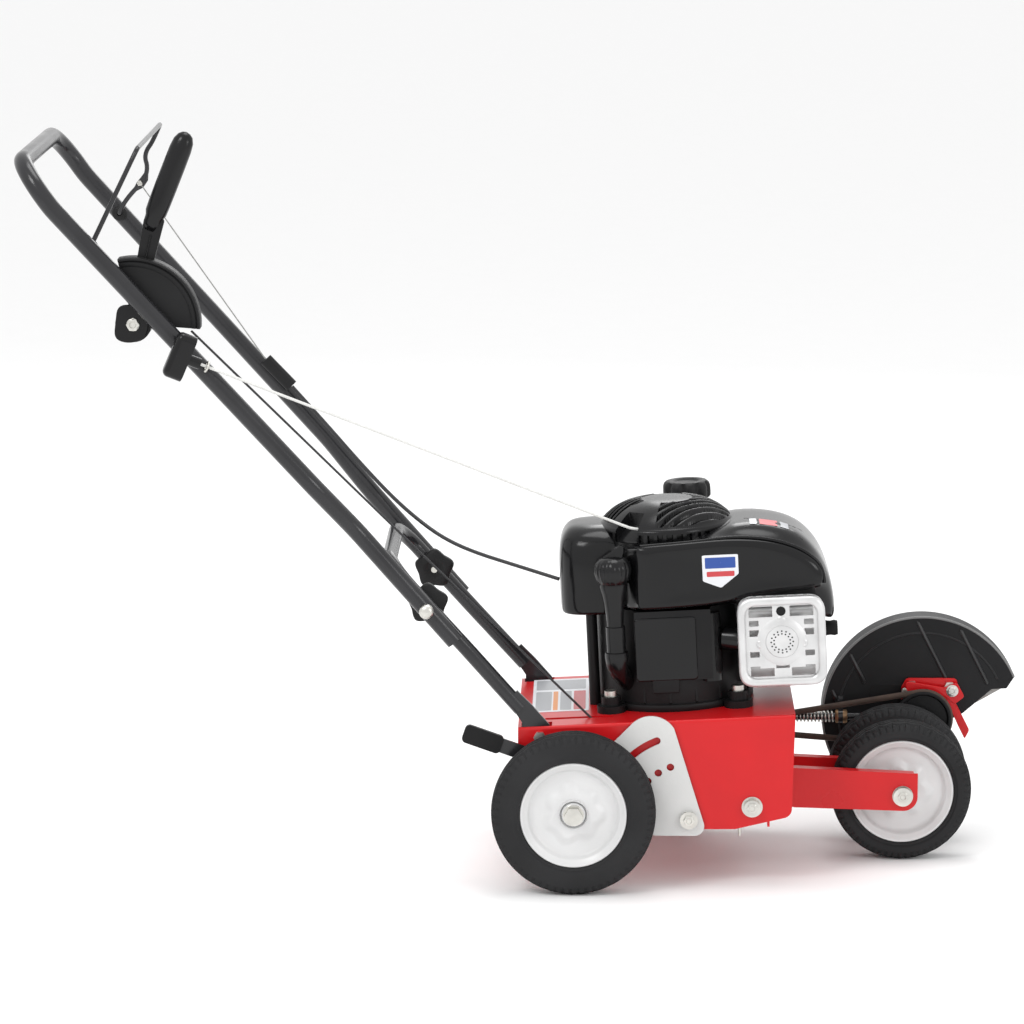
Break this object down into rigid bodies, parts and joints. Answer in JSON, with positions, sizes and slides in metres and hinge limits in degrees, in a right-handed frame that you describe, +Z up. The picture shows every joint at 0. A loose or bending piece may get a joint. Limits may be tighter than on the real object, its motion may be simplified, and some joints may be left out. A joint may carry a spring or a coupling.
{
  "type": "lawn edger",
  "caption": "Walk-behind lawn edger: folding tube handle, vertical-shaft engine on a steel deck, wheels on a drop bracket, belt-driven guarded edging blade.",
  "frame": {"origin": "centre of the footprint on the ground, under the middle of the machine", "axes": "+X forward along the direction of travel towards the blade, +Y to the operator's left where the blade hangs, +Z up"},
  "size_m": [1.2483, 0.4276, 0.94],
  "materials": {
    "red_paint": "gloss",
    "black_paint": "satin",
    "black_casting": "cast",
    "dark_grey_paint": "gloss",
    "zinc_steel": "satin",
    "blade_steel": "satin",
    "cast_aluminium": "cast",
    "bright_aluminium": "machined",
    "black_plastic": "moulded",
    "gloss_black_plastic": "moulded",
    "white_plastic": "moulded",
    "black_rubber": "matte",
    "tyre_rubber": "matte",
    "rope_white": "braided",
    "cable_jacket": "smooth",
    "guard_grey": "moulded",
    "light_grey_paint": "satin"
  },
  "bodies": {
    "frame": {"deck_frame": "red_paint", "lower_handle": "dark_grey_paint", "front_arms": "red_paint", "front_axle": "zinc_steel", "cross_shaft": "zinc_steel", "frame_bolts": "zinc_steel", "engine_base": "black_casting", "cylinder_block": "black_casting", "blower_housing": "black_paint", "starter_cover": "black_plastic", "fuel_tank": "black_plastic", "muffler": "bright_aluminium", "muffler_guard": "bright_aluminium", "carburettor": "cast_aluminium", "air_cleaner": "black_plastic", "oil_filler_tube": "black_plastic", "spark_plug": "black_rubber", "control_cable": "zinc_steel", "throttle_cable": "cable_jacket", "starter_rope": "rope_white", "drive_belt": "black_rubber"},
    "crank": {"crankshaft": "zinc_steel", "engine_pulley": "zinc_steel", "flywheel": "bright_aluminium"},
    "reel": {"recoil_reel": "black_plastic"},
    "upper_idler": {"idler_upper": "zinc_steel"},
    "lower_idler": {"idler_lower": "zinc_steel"},
    "blade_head": {"blade_arm": "black_paint", "arm_spring": "zinc_steel", "spindle_housing": "cast_aluminium", "blade_guard": "guard_grey", "guard_bracket": "red_paint", "guard_bolts": "zinc_steel"},
    "spindle": {"spindle_shaft": "zinc_steel", "spindle_pulley": "zinc_steel", "blade": "blade_steel", "blade_nut": "zinc_steel"},
    "curb_bracket": {"curb_plate": "light_grey_paint", "curb_lever": "black_paint", "curb_lever_grip": "black_rubber", "right_axle_bolt": "zinc_steel"},
    "right_rear_wheel": {"right_rear_rim": "white_plastic", "right_rear_tyre": "tyre_rubber"},
    "left_rear_wheel": {"left_rear_rim": "white_plastic", "left_rear_tyre": "tyre_rubber"},
    "front_wheel": {"front_rim": "white_plastic", "front_tyre": "tyre_rubber"},
    "curb_wheel": {"curb_rim": "white_plastic", "curb_tyre": "tyre_rubber"},
    "upper_frame": {"upper_handle": "dark_grey_paint", "lever_quadrant": "gloss_black_plastic", "rope_guide": "zinc_steel", "cable_clamp": "black_plastic"},
    "depth_lever": {"depth_lever": "gloss_black_plastic"},
    "bail": {"bail": "black_paint"},
    "starter_grip": {"starter_grip": "gloss_black_plastic"},
    "right_knob": {"knob_right": "black_plastic"},
    "left_knob": {"knob_left": "black_plastic"},
    "fuel_cap": {"fuel_cap": "black_plastic"},
    "oil_cap": {"oil_cap": "black_plastic"}
  },
  "joints": [
    {"name": "handle_fold", "type": "hinge", "parent": "frame", "child": "upper_frame", "pos_m": [-0.125, 0, 0.35], "axis": [0, 1, 0], "range_deg": [0, 105], "deforming": ["control_cable", "throttle_cable", "starter_rope"]},
    {"name": "depth_lever_swing", "type": "hinge", "parent": "upper_frame", "child": "depth_lever", "pos_m": [-0.4795, -0.161, 0.7054], "axis": [0, 1, 0], "range_deg": [0, 52], "deforming": ["control_cable"]},
    {"name": "blade_depth", "type": "hinge", "parent": "frame", "child": "blade_head", "pos_m": [0.2769, 0.136, 0.101], "axis": [0, 1, 0], "range_deg": [0, 22], "deforming": ["drive_belt"]},
    {"name": "crank_spin", "type": "hinge", "parent": "frame", "child": "crank", "pos_m": [0.18513, 0, 0.14792], "axis": [-0.0504, 0, 0.9987], "continuous": true},
    {"name": "blade_spin", "type": "hinge", "parent": "blade_head", "child": "spindle", "pos_m": [0.505, 0.1265, 0.153], "axis": [0, 1, 0], "continuous": true},
    {"name": "upper_idler_spin", "type": "hinge", "parent": "frame", "child": "upper_idler", "pos_m": [0.295, 0.1105, 0.152], "axis": [0, 0, 1], "continuous": true},
    {"name": "lower_idler_spin", "type": "hinge", "parent": "frame", "child": "lower_idler", "pos_m": [0.295, 0.1105, 0.135], "axis": [0, 0, 1], "continuous": true},
    {"name": "bail_squeeze", "type": "hinge", "parent": "upper_frame", "child": "bail", "pos_m": [-0.53, 0, 0.8], "axis": [0, -1, 0], "range_deg": [0, 56], "stiffness_Nm_per_rad": 0.6, "springref_deg": -20.05, "deforming": ["throttle_cable"]},
    {"name": "starter_pull", "type": "slide", "parent": "upper_frame", "child": "starter_grip", "axis": [-0.8951, -0.2267, 0.3839], "range_m": [0, 0.45], "stiffness_N_per_m": 25, "springref_m": -0.08, "deforming": ["starter_rope"]},
    {"name": "reel_spin", "type": "hinge", "parent": "frame", "child": "reel", "pos_m": [0.17106, 0, 0.42657], "axis": [0.0504, 0, -0.9987], "range_deg": [0, 510]},
    {"name": "curb_height", "type": "hinge", "parent": "frame", "child": "curb_bracket", "pos_m": [0.1986, -0.1525, 0.086], "axis": [0, -1, 0], "range_deg": [0, 27.4]},
    {"name": "right_rear_wheel_spin", "type": "hinge", "parent": "curb_bracket", "child": "right_rear_wheel", "pos_m": [0.056, -0.184, 0.1016], "axis": [0, 1, 0], "continuous": true},
    {"name": "left_rear_wheel_spin", "type": "hinge", "parent": "frame", "child": "left_rear_wheel", "pos_m": [0.136, 0.184, 0.1016], "axis": [0, 1, 0], "continuous": true},
    {"name": "front_wheel_spin", "type": "hinge", "parent": "frame", "child": "front_wheel", "pos_m": [0.47, 0.005, 0.089], "axis": [0, 1, 0], "continuous": true},
    {"name": "curb_wheel_spin", "type": "hinge", "parent": "frame", "child": "curb_wheel", "pos_m": [0.47, 0.097, 0.089], "axis": [0, 1, 0], "continuous": true},
    {"name": "right_knob_turn", "type": "hinge", "parent": "frame", "child": "right_knob", "pos_m": [-0.125, -0.116, 0.35], "axis": [0, 1, 0], "continuous": true},
    {"name": "left_knob_turn", "type": "hinge", "parent": "frame", "child": "left_knob", "pos_m": [-0.125, 0.116, 0.35], "axis": [0, 1, 0], "continuous": true},
    {"name": "fuel_cap_turn", "type": "hinge", "parent": "frame", "child": "fuel_cap", "pos_m": [0.19786, 0.118, 0.45095], "axis": [-0.0504, 0, 0.9987], "range_deg": [0, 120]},
    {"name": "oil_cap_turn", "type": "hinge", "parent": "frame", "child": "oil_cap", "pos_m": [0.10301, -0.096, 0.3961], "axis": [-0.0504, 0, 0.9987], "range_deg": [0, 90]}
  ],
  "couplings": [
    {"joint": "blade_depth", "follows": "depth_lever_swing", "ratio": 0.423},
    {"joint": "blade_spin", "follows": "crank_spin", "ratio": -1},
    {"joint": "upper_idler_spin", "follows": "crank_spin", "ratio": 2.18},
    {"joint": "lower_idler_spin", "follows": "crank_spin", "ratio": -2.18},
    {"joint": "reel_spin", "follows": "starter_pull", "rad_per_m": 19.3}
  ]
}
